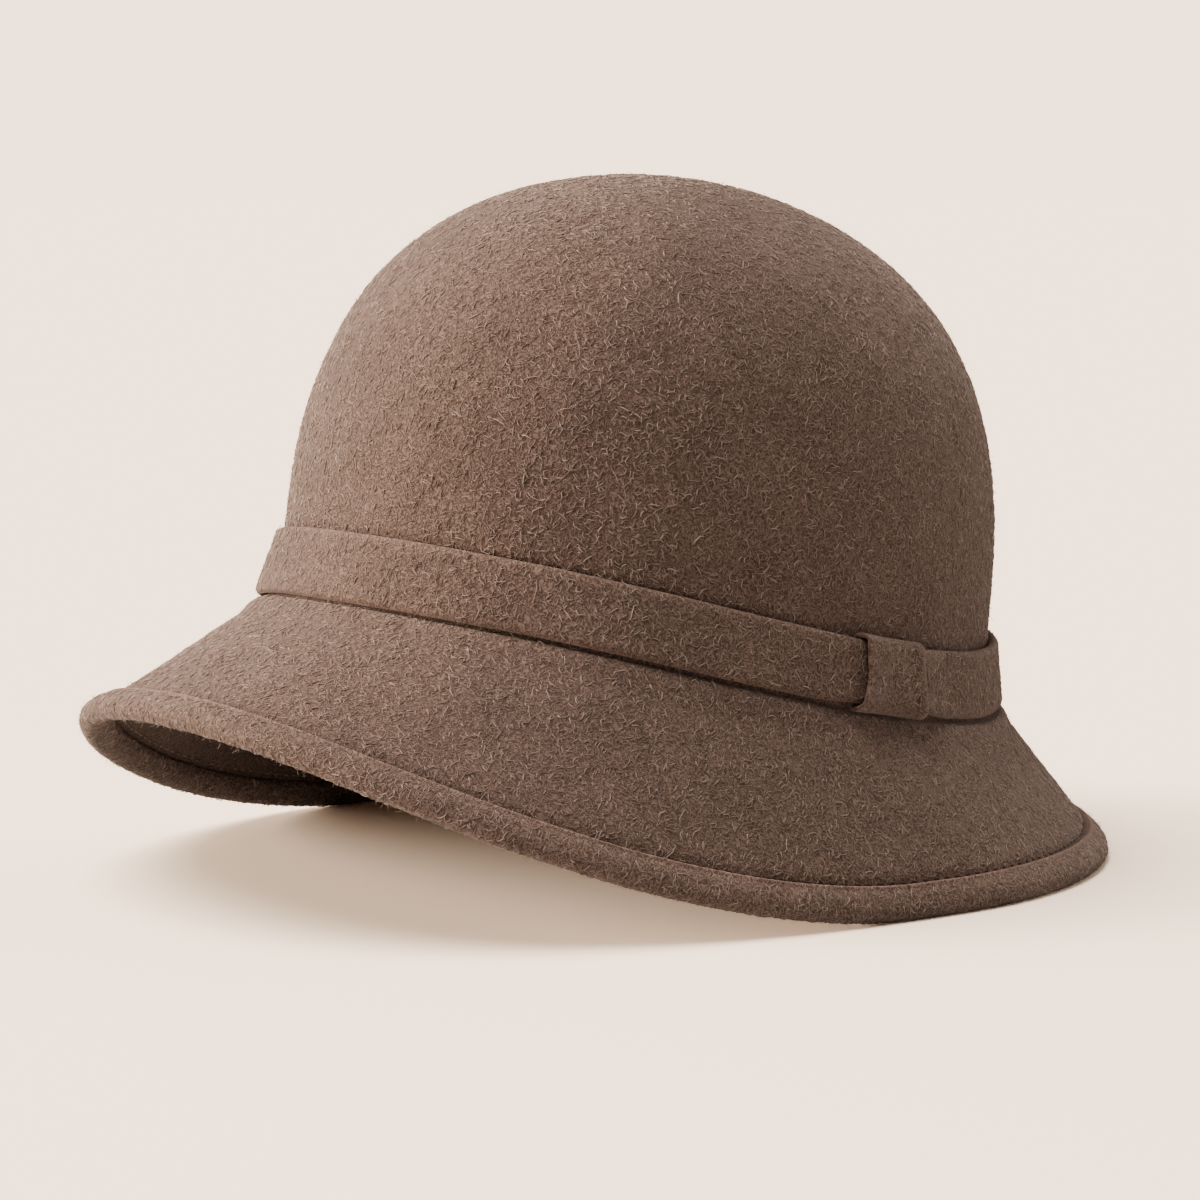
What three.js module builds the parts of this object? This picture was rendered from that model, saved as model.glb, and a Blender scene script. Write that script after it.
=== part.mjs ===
// A felt cloche hat: one blocked felt body for the crown and brim, a binding folded over the brim's edge,
// a folded felt band round the crown and the keeper that closes it.
// Millimetres, +Z up, the front towards -Y and the wearer's left towards +X. The hat rests on z = 0 as it
// does by itself, on the sides and back of its brim, with the front raised. The origin is under the middle
// of its outline.

import * as THREE from "three";
import { ParametricGeometry } from "three/addons/geometries/ParametricGeometry.js";

// The felt and the play between pieces.
const wall = 2.2;
const play = 0.35;

// The crown: an ellipse in plan whose wall rounds over into a dome. Its own frame is level with the head
// opening; it stands over the brim, leaning back.
const crown = { halfWidth: 85.8, halfLength: 98.7, height: 126, crestShift: 1.7 };
const stance = { leanBack: 7.4, middleY: 10.3, liftZ: 53.5 };
const domeSideCurve = 3.44;
const domeTopCurve = 1.95;

// The head line, where crown turns into brim, dips at the sides: its height is the sum of one, two and
// three waves a turn.
const headLine = [
  { waves: 1, height: 5.2 },
  { waves: 2, height: 4.9 },
  { waves: 3, height: -1.4 },
];

// The brim's outer edge in plan, squarer in front than behind, and how it rises from the surface in front.
const edge = { halfWidth: 118.5, halfLength: 141.5, widestY: 21.5, frontPower: 2.2, backPower: 1.92 };
const rise = { front: 48.2, fromCosine: 0.08, ease: 0.12, sag: 0.71 };

// The binding: a rounded section folded over the edge, and how far its underside is pressed flat.
const binding = { halfDepth: 4.5, halfThickness: 3.0, power: 2.6, pastEdge: 3.0, flattened: 0.4 };

// The band: a folded strip with round edges. It stands off the crown wall by these amounts, measured to its
// outer face.
const band = { height: 17.2, thickness: 2.4, topStandoff: 1.9, bottomStandoff: 6.4, clearance: 0.4 };

// The keeper: a strip wrapped round the band at the wearer's left side. The band stands
// further out and is drawn narrower where the strip passes behind it.
const keeper = { angle: 94.7, width: 21.8, thickness: 1.2, fade: 14, bandLift: 1.6, bandPinch: 0.6 };

// Where the crown wall meets the brim: how far the corner lies outside the plain wall and below the head
// line, and how long the bend is on each side of it.
const bend = { standoff: 3.65, drop: 0.55, reach: 2 };

const segments = { around: 64, dome: 12, bindingArc: 12, bandAround: 96, roundEdge: 4, keeperAcross: 4 };

const colours = { felt: 0x6f5a50, bindingFelt: 0x6a554b, bandFelt: 0x715c52, keeperFelt: 0x755f55 };

const up = new THREE.Vector3(0, 0, 1);
const step = 1e-3;
const smooth = THREE.MathUtils.smoothstep;
const radians = THREE.MathUtils.degToRad;
const power = (value, exponent) => Math.sign(value) * Math.abs(value) ** exponent;

// From the crown's own frame to the part's frame.
const standing = new THREE.Matrix4()
  .makeRotationX(-radians(stance.leanBack))
  .setPosition(0, stance.middleY, stance.liftZ);

function headLineHeight(angle) {
  return headLine.reduce((sum, wave) => sum + wave.height * Math.cos(wave.waves * angle), 0);
}

// A point of the crown's neighbourhood: standoff outside its plain wall, at this height of its own frame.
function onWall(angle, standoff, height) {
  const level = THREE.MathUtils.clamp(height / crown.height, 0, 1);
  const narrowing = (1 - level ** domeSideCurve) ** (1 / domeTopCurve);
  return new THREE.Vector3(
    (crown.halfWidth * narrowing + standoff) * Math.sin(angle),
    -(crown.halfLength * narrowing + standoff) * Math.cos(angle) - crown.crestShift * level,
    height,
  ).applyMatrix4(standing);
}

// The edge's lowest outer line at an angle from the front towards the wearer's left.
function edgeLine(angle) {
  const [sine, cosine] = [Math.sin(angle), Math.cos(angle)];
  const inFront = cosine > 0;
  const exponent = 2 / (inFront ? edge.frontPower : edge.backPower);
  const reach = edge.halfLength + (inFront ? edge.widestY : -edge.widestY);
  const share = Math.max(0, (cosine - rise.fromCosine) / (1 - rise.fromCosine));
  const eased = ((1 + rise.ease) * share * share) / (share + rise.ease);
  return new THREE.Vector3(
    edge.halfWidth * power(sine, exponent),
    edge.widestY - reach * power(cosine, exponent),
    rise.front * eased * (1 - rise.sag * (1 - share)),
  );
}

// The closed outline of a strip with round edges, as {along, out} from the middle of the strip.
function stripOutline(halfLength, radius) {
  const points = [];
  for (const [end, start] of [[-1, 0], [1, Math.PI]]) {
    for (let i = 0; i <= segments.roundEdge; i++) {
      const turn = start + (Math.PI * i) / segments.roundEdge;
      points.push({ along: end * halfLength - radius * Math.sin(turn), out: radius * Math.cos(turn) });
    }
  }
  return points;
}

// The binding's outline, as {down, out} from its middle: a rounded outside and a slot for the brim's edge.
function bindingOutline() {
  const slotHalf = wall / 2 + play;
  const lipTurn = 2.6;
  const outside = Array.from({ length: segments.bindingArc + 1 }, (_, i) => {
    const turn = lipTurn - (2 * lipTurn * i) / segments.bindingArc;
    return {
      down: binding.halfDepth * power(Math.cos(turn), 2 / binding.power),
      out: binding.halfThickness * power(Math.sin(turn), 2 / binding.power),
    };
  });
  const slotEnd = binding.halfDepth - binding.pastEdge;
  const mouth = outside[0].down;
  return [
    ...outside,
    { down: mouth, out: -slotHalf },
    { down: slotEnd, out: -slotHalf },
    { down: slotEnd, out: slotHalf },
    { down: mouth, out: slotHalf },
  ];
}

const bindingPoints = bindingOutline();

// The brim at one angle: the corner where its outer face leaves the crown, the middle of its binding, and
// the directions down the slope and out of it. Each depends on the others, so they are settled in passes.
function brimAt(angle) {
  const corner = onWall(angle, bend.standoff, headLineHeight(angle) - bend.drop);
  const along = edgeLine(angle + step).sub(edgeLine(angle - step)).normalize();
  const outward = new THREE.Vector3().crossVectors(along, up).normalize();
  const [down, out] = [outward.clone().sub(up).normalize(), new THREE.Vector3()];
  let middle;
  for (let pass = 0; pass < 4; pass++) {
    out.crossVectors(down, along).normalize();
    const reach = (x) => Math.max(...bindingPoints.map((p) => p.down * down.dot(x) + p.out * out.dot(x)));
    const lowest = reach(up.clone().negate());
    middle = edgeLine(angle).addScaledVector(outward, -reach(outward)).addScaledVector(up, lowest - binding.flattened);
    down.copy(middle).sub(corner).addScaledVector(out, wall / 2).normalize();
  }
  return { corner, middle, down, out };
}

// The body's outer surface at one angle, from the crest down to the brim's edge inside the binding.
function outerProfile(angle) {
  const line = headLineHeight(angle);
  const lean = (band.bottomStandoff - band.topStandoff) / band.height;
  const normal = Math.hypot(1, lean);
  const inset = (band.thickness + band.clearance) * normal;
  const wallStandoff = (height) => band.bottomStandoff - lean * height - inset;
  const plain = line + band.height + 6;
  const turnEnd = Math.acos((plain / crown.height) ** (domeSideCurve / 2));
  const points = Array.from({ length: segments.dome + 1 }, (_, i) => {
    const turn = (turnEnd * i) / segments.dome;
    return onWall(angle, 0, crown.height * Math.cos(turn) ** (2 / domeSideCurve));
  });
  const bandTop = band.height - 0.5;
  points.push(onWall(angle, wallStandoff(bandTop), line + bandTop));
  const { corner, middle, down, out } = brimAt(angle);
  const bendStart = onWall(angle, wallStandoff(bend.reach - bend.drop), line + bend.reach - bend.drop);
  const brimLine = (distance) => middle.clone().addScaledVector(down, distance).addScaledVector(out, wall / 2);
  const bendEnd = corner.clone().addScaledVector(down, bend.reach);
  const turn = new THREE.QuadraticBezierCurve3(bendStart, corner, bendEnd);
  points.push(...[0, 0.35, 0.65, 1].map((share) => turn.getPoint(share)));
  points.push(brimLine(-binding.halfDepth - wall), brimLine(binding.halfDepth - binding.pastEdge - play));
  return points;
}

// The body as one closed surface: the outer profile, then the inner one a felt thickness inside it.
function bodyProfile(angle) {
  const outer = outerProfile(angle);
  const [before, after] = [outerProfile(angle - step), outerProfile(angle + step)];
  const { out } = brimAt(angle);
  const inner = outer.map((point, i) => {
    const across = after[i].clone().sub(before[i]);
    const downward = outer[Math.min(i + 1, outer.length - 1)].clone().sub(outer[Math.max(i - 1, 0)]);
    const outwards = downward.cross(across).normalize();
    if (i === 0) outwards.copy(up).transformDirection(standing);
    if (i >= outer.length - 2) outwards.copy(out);
    return point.clone().addScaledVector(outwards, -wall);
  });
  return [...outer, ...inner.reverse()];
}

// The binding at one angle. Where it lies on the surface its underside is pressed flat.
function bindingProfile(angle) {
  const { middle, down, out } = brimAt(angle);
  return bindingPoints.map((p) => {
    const point = middle.clone().addScaledVector(down, p.down).addScaledVector(out, p.out);
    point.z = Math.max(point.z, 0);
    return point;
  });
}

// How much the keeper draws on the band at an angle: one beneath it, none a little way off.
const keeperAngle = radians(keeper.angle);
const keeperPace = onWall(keeperAngle + step, 0, 0).distanceTo(onWall(keeperAngle - step, 0, 0)) / (2 * step);
function drawnIn(angle) {
  const apart = Math.abs(angle - keeperAngle) * keeperPace - keeper.width / 2 - play;
  return 1 - smooth(apart, 0, keeper.fade);
}

// The outline of a strip on the band's middle line: grown outwards from the band's own section.
function alongBand(angle, grown) {
  const near = drawnIn(angle);
  const line = headLineHeight(angle);
  const foot = onWall(angle, band.bottomStandoff, line);
  const head = onWall(angle, band.topStandoff, line + band.height);
  const rising = head.clone().sub(foot);
  const half = rising.length() / 2 - band.thickness / 2 - keeper.bandPinch * near;
  rising.normalize();
  const across = onWall(angle + step, 0, 0).sub(onWall(angle - step, 0, 0));
  const out = across.cross(rising).normalize();
  const middle = foot.clone().add(head).multiplyScalar(0.5);
  middle.addScaledVector(out, keeper.bandLift * near - band.thickness / 2);
  return stripOutline(half, band.thickness / 2 + grown).map((p) =>
    middle.clone().addScaledVector(rising, p.along).addScaledVector(out, p.out),
  );
}

// The keeper: a strip's section carried once round the band. Its rows go round the strip's own thickness.
function keeperRows() {
  const half = keeper.width / 2 / keeperPace;
  const across = Array.from({ length: segments.keeperAcross + 1 }, (_, i) => (2 * i) / segments.keeperAcross - 1);
  const row = (place, grown) => alongBand(keeperAngle + place * half, grown);
  return [
    ...across.map((place) => row(place, play)),
    ...across.reverse().map((place) => row(place, play + keeper.thickness)),
  ];
}

// A closed surface from a profile at each angle, or from rows that each go all the way round.
function swept(profileAt, around, closed) {
  const profiles = Array.from({ length: around }, (_, i) => profileAt((2 * Math.PI * i) / around));
  const rows = profiles[0].length;
  const last = closed ? rows : rows - 1;
  return new ParametricGeometry(
    (u, v, target) => target.copy(profiles[Math.round((1 - u) * around) % around][Math.round(v * last) % rows]),
    around,
    last,
  );
}

function felt(name, geometry, colour) {
  const material = new THREE.MeshStandardMaterial({ color: colour, roughness: 0.95, metalness: 0 });
  const mesh = new THREE.Mesh(geometry, material);
  mesh.name = name;
  return mesh;
}

const strip = keeperRows();
const keeperGeometry = new ParametricGeometry(
  (u, v, target) => {
    const row = strip[Math.round(u * strip.length) % strip.length];
    return target.copy(row[Math.round(v * row.length) % row.length]);
  },
  strip.length,
  strip[0].length,
);

const hat = new THREE.Group();
hat.add(
  felt("crown_and_brim", swept(bodyProfile, segments.around, false), colours.felt),
  felt("brim_binding", swept(bindingProfile, segments.around, true), colours.bindingFelt),
  felt("band", swept((angle) => alongBand(angle, 0), segments.bandAround, true), colours.bandFelt),
  felt("band_keeper", keeperGeometry, colours.keeperFelt),
);

export default hat;
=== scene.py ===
"""A wool felt cloche hat: its felt body, bound edge, band and keeper, with the curled nap of the felt.

Lengths are metres in the part's own frame: +Z up, the front towards -Y, the wearer's left towards +X.
An angle round the hat runs from the front towards the wearer's left.
"""

import math

import bpy
import numpy as np
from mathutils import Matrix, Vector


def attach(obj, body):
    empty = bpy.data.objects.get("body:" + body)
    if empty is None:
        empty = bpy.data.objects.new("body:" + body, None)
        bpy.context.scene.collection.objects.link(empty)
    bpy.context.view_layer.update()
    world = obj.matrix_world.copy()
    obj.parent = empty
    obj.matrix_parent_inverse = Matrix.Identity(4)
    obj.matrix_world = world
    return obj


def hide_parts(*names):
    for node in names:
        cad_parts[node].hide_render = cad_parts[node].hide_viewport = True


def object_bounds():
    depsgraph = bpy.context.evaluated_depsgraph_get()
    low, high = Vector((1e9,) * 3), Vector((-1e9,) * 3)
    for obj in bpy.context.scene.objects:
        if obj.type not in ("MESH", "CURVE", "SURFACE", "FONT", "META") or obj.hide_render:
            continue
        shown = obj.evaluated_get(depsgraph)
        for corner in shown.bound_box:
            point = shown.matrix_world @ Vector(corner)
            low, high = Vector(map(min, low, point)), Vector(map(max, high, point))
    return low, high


bl_info = {
    "name": "Cloche Hat",
    "version": (1, 0, 0),
    "blender": (4, 5, 0),
    "location": "3D View > Sidebar > Hat",
    "description": "Makes a felt cloche hat with its band, keeper, bound edge, stitches and nap",
    "category": "Add Mesh",
}

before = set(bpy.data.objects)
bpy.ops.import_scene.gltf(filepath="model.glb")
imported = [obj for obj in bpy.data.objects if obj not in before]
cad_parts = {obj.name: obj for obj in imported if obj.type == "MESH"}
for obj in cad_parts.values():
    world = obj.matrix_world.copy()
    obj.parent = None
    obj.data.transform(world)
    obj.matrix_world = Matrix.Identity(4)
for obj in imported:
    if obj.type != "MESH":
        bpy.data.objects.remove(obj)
CAD_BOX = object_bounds()
MM = 0.001
EDGE_HALF = np.subtract(CAD_BOX[1], CAD_BOX[0]) / 2
TURN = 2 * math.pi


def linear(hex_colour):
    """An sRGB colour written as RRGGBB, as three linear values: each channel is undone by the sRGB curve."""
    parts = [int(hex_colour[i : i + 2], 16) / 255 for i in (0, 2, 4)]
    return tuple(c / 12.92 if c <= 0.04045 else ((c + 0.055) / 1.055) ** 2.4 for c in parts)


def length(name, description, millimetres):
    """A length property, given in millimetres and kept in metres."""
    return bpy.props.FloatProperty(
        name=name, description=description, default=millimetres * MM, unit="LENGTH", precision=5
    )


def number(name, description, default):
    return bpy.props.FloatProperty(name=name, description=description, default=default)


def turn(name, description, degrees):
    return bpy.props.FloatProperty(
        name=name, description=description, default=math.radians(degrees), unit="ROTATION"
    )


def colour(name, description, hex_colour):
    return bpy.props.FloatVectorProperty(
        name=name, description=description, subtype="COLOR", size=3, min=0, max=1, default=linear(hex_colour)
    )


class HatShape(bpy.types.PropertyGroup):
    """The sizes of the felt pieces."""

    wall: length("Felt", "Thickness of the body's felt", 2.2)
    play: length("Play", "Gap between pieces that touch", 0.35)
    crown_half_width: length("Crown half width", "Half the crown's width at the head line", 85.8)
    crown_half_length: length("Crown half length", "Half the crown's length at the head line", 98.7)
    crown_height: length("Crown height", "Height of the crown over its own foot", 126)
    crest_shift: length("Crest shift", "How far the crest lies in front of the middle", 1.7)
    side_curve: number("Side curve", "How long the crown's side stays upright", 3.44)
    top_curve: number("Top curve", "How flat the dome's top is", 1.95)
    lean_back: turn("Lean", "How far the resting hat leans back", 7.4)
    middle_y: length("Crown middle", "Place of the crown's middle along Y", 10.3)
    lift_z: length("Crown lift", "Height of the crown's foot over the surface", 53.5)
    wave_once: length("Head line, once round", "Height of the head line's single wave", 5.2)
    wave_twice: length("Head line, twice round", "Height of its double wave", 4.9)
    wave_thrice: length("Head line, thrice round", "Height of its triple wave", -1.4)
    widest_y: length("Widest place", "Place along Y where the brim is widest", 21.5)
    front_power: number("Front squareness", "Power of the brim's outline in front", 2.2)
    back_power: number("Back squareness", "Power of the brim's outline behind", 1.92)
    rise_front: length("Front rise", "Height of the resting brim's front", 48.2)
    rise_from: number("Rise start", "Cosine of the angle where the brim leaves the surface", 0.08)
    rise_ease: number("Rise ease", "How gently it leaves the surface", 0.12)
    rise_sag: number("Rise sag", "How much the rise hangs below a straight slope", 0.71)
    bend_standoff: length("Bend standoff", "Where the brim's face leaves the crown's wall", 3.65)
    bend_drop: length("Bend drop", "How far that place is below the head line", 0.55)
    bend_reach: length("Bend reach", "Length of the bend on each side of it", 2.0)


class TrimShape(bpy.types.PropertyGroup):
    """The sizes of the bound edge, the band and the keeper."""

    binding_depth: length("Binding half depth", "Half the binding's depth down the brim", 4.5)
    binding_half: length("Binding half thickness", "Half the binding's thickness", 3.0)
    binding_power: number("Binding fullness", "Power of the binding's round section", 2.6)
    binding_wrap: turn("Binding wrap", "How far round its section each lip comes", 149)
    past_edge: length("Past the edge", "Binding beyond the brim's own edge", 3.0)
    flattened: length("Flattened", "How far the underside is pressed flat", 0.4)
    band_height: length("Band height", "Height of the band", 17.2)
    band_thickness: length("Band thickness", "Thickness of the folded band", 2.4)
    band_top: length("Band top standoff", "Standoff of the band's upper edge in front", 1.9)
    band_bottom: length("Band foot standoff", "Standoff of the band's lower edge in front", 6.4)
    band_upright: length("Band upright", "How much nearer to upright both come behind", 0.9)
    band_clearance: length("Band clearance", "Gap between band and crown", 0.4)
    keeper_angle: turn("Keeper angle", "Place of the keeper, from the front", 94.7)
    keeper_width: length("Keeper width", "Width of the keeper", 21.8)
    keeper_thickness: length("Keeper thickness", "Thickness of the keeper's felt", 1.2)
    keeper_fade: length("Keeper fade", "Length over which the band eases back", 14)
    band_lift: length("Band lift", "How far the band stands out over the keeper's hidden side", 1.6)
    band_pinch: length("Band pinch", "How far the keeper draws in each edge of the band", 0.6)
    stitch_length: length("Stitch", "Length of a stitch", 2.3)
    stitch_gap: length("Stitch gap", "Gap between stitches", 1.3)
    thread: length("Thread", "Half the thickness of the thread", 0.2)
    seam_bead: length("Seam bead", "How far the binding's folded lip stands up", 0.5)
    seam_groove: length("Seam groove", "Depth of the brim's groove along the lip", 0.55)
    band_crease: length("Band crease", "Depth of the crease between crown and brim", 1.1)
    brim_swell: length("Brim swell", "How far the brim swells up against the band's foot", 0.8)
    keeper_lift: length("Keeper lift", "How far the keeper's front edge stands off", 1.5)
    keeper_fold: length("Keeper fold", "How far its folded rear edge stands out", 0.9)
    keeper_flare: length("Keeper flare", "How far its front edge spreads at the foot", 2.2)


class HatLook(bpy.types.PropertyGroup):
    """The colours of the felt and the size of its nap."""

    # The felt's colours by relief height: the deep one is painted shade in the hollows between the curls, the
    # light one a painted highlight on their tops; the middle one is the felt's own colour.
    felt_hollow_painted_shade: colour("Felt, deep", "Felt between the curls", "4e3d34")
    felt_mid: colour("Felt, middle", "The felt's own colour", "7a6256")
    felt_top_painted_highlight: colour("Felt, light", "The tips of the curls", "9c8477")
    curl_low: colour("Curl, dull", "The dullest curls of nap", "8a7366")
    curl_high: colour("Curl, pale", "The palest curls of nap", "d8c1b3")
    seam_thread: colour("Seam thread", "Thread of the seam on the outside", "4a382f")
    hem_thread: colour("Hem thread", "Thread of the seam on the inside", "cdbbab")
    floor_colour: colour("Floor", "Floor and surroundings, as seen", "efdcc6")
    floor_throw: colour("Floor throw", "What the floor throws back on the hat", "b9b6b3")
    # How much paler the felt is painted along lit folds and edges: a painted highlight.
    painted_edge_highlight: number("Rubbed folds", "How much paler the felt is along a fold", 0.45)
    curls: number("Curls", "Curls of nap on a square millimetre", 0.49)
    curl_length: length("Curl length", "Mean length of a curl", 2.8)
    curl_half: length("Curl thickness", "Half the thickness of a curl", 0.125)
    hairs: number("Hairs", "Loose hairs on a square millimetre", 0.04)
    hair_length: length("Hair length", "Mean length of a loose hair", 1.7)
    hair_half: length("Hair thickness", "Half the thickness of a loose hair", 0.045)


def shape():
    return bpy.context.scene.hat_shape


def trim():
    return bpy.context.scene.hat_trim


def look():
    return bpy.context.scene.hat_look


# Small tools


def power(value, exponent):
    """The value's size raised to the exponent, with its sign kept."""
    return np.sign(value) * np.abs(value) ** exponent


def smooth(value):
    """Goes from 0 to 1 with level ends as the value does."""
    t = np.clip(value, 0, 1)
    return t * t * (3 - 2 * t)


def hump(value, middle, reach):
    """Goes smoothly up to 1 at the middle and back to 0, over the reach on each side."""
    return smooth(1 - np.abs(value - middle) / reach)


def unit(vectors):
    return vectors / np.maximum(np.linalg.norm(vectors, axis=-1, keepdims=True), 1e-12)


def dot(a, b):
    return np.sum(a * b, axis=-1)


def around(count):
    return np.linspace(0, TURN, count, endpoint=False)


# The hat's surfaces, as functions of the angle round it

# Rows from the dome to behind the band, round the bend, and at the brim's edge
BRIDGE_ROWS = 6
BEND_ROWS = 9
EDGE_ROWS = 8

# Above and below the band's upper edge, the wall draws in behind it
TUCK_ABOVE = 1.6 * MM
TUCK_BELOW = 1.3 * MM

# The closer rows by the binding's lip: their start above it and their stretch, and the groove's reach
LIP_START = 3 * MM
LIP_STRETCH = 4.5 * MM
GROOVE_REACH = 2.6 * MM

# Points that measure the binding's box, steps round a strip's edge, and the size of the felt's waves
BOX_STEPS = 40
EDGE_STEPS = 7
UNEVEN = 0.1 * MM


def stand(points):
    """From the crown's level frame to the resting hat: leaned back about X, moved along Y and lifted."""
    s = shape()
    c, n = math.cos(s.lean_back), math.sin(s.lean_back)
    x, y, z = points[..., 0], points[..., 1], points[..., 2]
    return np.stack([x, y * c + z * n + s.middle_y, -y * n + z * c + s.lift_z], -1)


def head_line(angle):
    """Height of the line where crown meets brim: the sum of one, two and three cosine waves a turn."""
    s = shape()
    waves = (s.wave_once, s.wave_twice, s.wave_thrice)
    return sum(h * np.cos((i + 1) * angle) for i, h in enumerate(waves))


def on_wall(angle, standoff, height):
    """A point near the crown. The plain wall is an ellipse whose size is (1 - level ** side_curve) to the
    power 1 / top_curve, with level the share of the crown's height; the point is standoff outside it."""
    s = shape()
    angle, standoff, height = np.broadcast_arrays(angle, standoff, height)
    level = np.clip(height / s.crown_height, 0, 1)
    size = (1 - level**s.side_curve) ** (1 / s.top_curve)
    x = (s.crown_half_width * size + standoff) * np.sin(angle)
    y = -(s.crown_half_length * size + standoff) * np.cos(angle) - s.crest_shift * level
    return stand(np.stack([x, y, height], -1))


def band_stand(angle):
    """How far the band's foot and head stand off the plain wall: it slants less behind than in front."""
    t = trim()
    behind = t.band_upright * smooth((1 - np.cos(angle)) / 2)
    return t.band_bottom - behind, t.band_top + behind


def edge_line(angle):
    """The edge's lowest outer line. In plan it is an oval of powers of sine and cosine. In front it rises
    as share squared over share plus an ease, with share the way from the resting place to the front."""
    s = shape()
    sine, cosine = np.sin(angle), np.cos(angle)
    exponent = 2 / np.where(cosine > 0, s.front_power, s.back_power)
    reach = EDGE_HALF[1] + np.where(cosine > 0, s.widest_y, -s.widest_y)
    share = np.maximum(0, (cosine - s.rise_from) / (1 - s.rise_from))
    eased = (1 + s.rise_ease) * share**2 / (share + s.rise_ease)
    x = EDGE_HALF[0] * power(sine, exponent)
    y = s.widest_y - reach * power(cosine, exponent)
    return np.stack([x, y, s.rise_front * eased * (1 - s.rise_sag * (1 - share))], -1)


def binding_outline(way):
    """The binding's section as (down, out) pairs: a rounded outside of powers of cosine and sine, then a
    slot with square corners that holds the brim's edge. The way goes from 1 at one lip to -1 at the other."""
    s, t = shape(), trim()
    phase, exponent = way * t.binding_wrap, 2 / t.binding_power
    down = t.binding_depth * power(np.cos(phase), exponent)
    outside = np.stack([down, t.binding_half * power(np.sin(phase), exponent)], -1)
    half = s.wall / 2 + s.play
    end = t.binding_depth - t.past_edge
    mouth = outside[0, 0]
    slot = np.array([[mouth, -half], [end, -half], [end, half], [mouth, half]])
    return np.concatenate([outside, slot])


def brim_at(angle):
    """The corner where the brim's outer face leaves the crown, the middle of the binding, and the
    directions down the slope and out of it. The binding's box touches the edge's lowest outer line; as the
    slope and the box depend on each other, they settle over a few rounds."""
    s, t = shape(), trim()
    step = 1e-4
    up = np.array([0.0, 0.0, 1.0])
    corner = on_wall(angle, s.bend_standoff, head_line(angle) - s.bend_drop)
    along = unit(edge_line(angle + step) - edge_line(angle - step))
    outward = unit(np.cross(along, up))
    outline = binding_outline(np.linspace(1, -1, BOX_STEPS))
    down = unit(outward - up)
    for _ in range(4):
        out = unit(np.cross(down, along))

        def reach(direction):
            ways = np.stack([dot(down, direction), dot(out, direction)], -1)
            return np.max(ways @ outline.T, axis=-1, keepdims=True)

        lift = reach(-up) - t.flattened
        middle = edge_line(angle) - reach(outward) * outward + lift * up
        down = unit(middle - corner + out * s.wall / 2)
    return corner, middle, down, unit(np.cross(down, along))


def outer_profile(angle, dome_rows, brim_rows):
    """The body's outer surface, a row of points for each step from the crest down to the brim's edge.
    Returns the rows and the places in them of the band's top and of the brim's start."""
    s, t = shape(), trim()
    line = head_line(angle)
    foot, head = band_stand(angle)
    lean = (foot - head) / t.band_height
    inset = (t.band_thickness + t.band_clearance) * np.hypot(1, lean)

    def behind_band(height):
        return on_wall(angle, foot - lean * height - inset, line + height)

    above, top, low = t.band_height + TUCK_ABOVE, t.band_height - TUCK_BELOW, s.bend_reach - s.bend_drop
    turn_end = np.arccos(((line + above) / s.crown_height) ** (s.side_curve / 2))
    rows = [
        on_wall(angle, 0, s.crown_height * np.cos(turn_end * share) ** (2 / s.side_curve))
        for share in np.linspace(0, 1, dome_rows)
    ]
    inset_top = foot - lean * top - inset
    for share in np.linspace(0, 1, BRIDGE_ROWS)[1:-1]:
        rows.append(on_wall(angle, inset_top * smooth(share), line + above + (top - above) * share))
    rows += [behind_band(top), behind_band((top + low) / 2)]
    corner, middle, down, out = brim_at(angle)
    start = behind_band(low)
    face = middle + out * s.wall / 2
    fall = np.linalg.norm(face - corner, axis=-1, keepdims=True)
    finish = corner + down * s.bend_reach
    for share in np.linspace(0, 1, BEND_ROWS):
        a, b, c = (1 - share) ** 2, 2 * share * (1 - share), share**2
        rows.append(a * start + b * corner + c * finish)
    brim_start = len(rows)
    first, last = s.bend_reach, fall - t.binding_depth - LIP_START
    for share in np.linspace(0, 1, brim_rows)[1:]:
        rows.append(corner + down * (first + (last - first) * share))
    for beyond in np.linspace(0, LIP_STRETCH, EDGE_ROWS - 1)[1:]:
        rows.append(corner + down * (last + beyond))
    rows.append(face + down * (t.binding_depth - t.past_edge - s.play))
    return np.stack(rows), dome_rows + BRIDGE_ROWS - 2, brim_start


def soften(points):
    """Blocked by hand, the felt is never quite true: a few crossed sine waves, 28 to 60 mm long, move
    every piece alike by up to about 0.4 mm. They die away towards the surface the hat rests on."""
    waves = [21, 13, 8, 0.3], [-12, 24, 15, 1.7], [9, -17, 26, 2.9], [34, 29, -19, 4.1], [-27, 38, 31, 0.9]
    waves = np.array(waves)
    phase = points @ (waves[:, :3].T * 4) + waves[:, 3]
    away = smooth((points[..., 2:] - 3 * MM) / (20 * MM))
    swell = np.stack([np.sin(phase).sum(-1), np.sin(phase + 2).sum(-1), 0.4 * np.sin(phase + 4).sum(-1)], -1)
    return points + away * swell * UNEVEN


def drawn_in(angle):
    """How much the keeper draws on the band: 1 beneath it, fading smoothly to 0 beside it."""
    s, t = shape(), trim()
    apart = np.abs((angle - t.keeper_angle + math.pi) % TURN - math.pi) * keeper_pace()
    return 1 - smooth((apart - t.keeper_width / 2 - s.play) / t.keeper_fade)


def keeper_pace():
    """Length along the crown's wall for each radian at the keeper."""
    step = 1e-3
    ends = on_wall(np.array([trim().keeper_angle - step, trim().keeper_angle + step]), 0, 0)
    return float(np.linalg.norm(ends[1] - ends[0]) / (2 * step))


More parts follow.
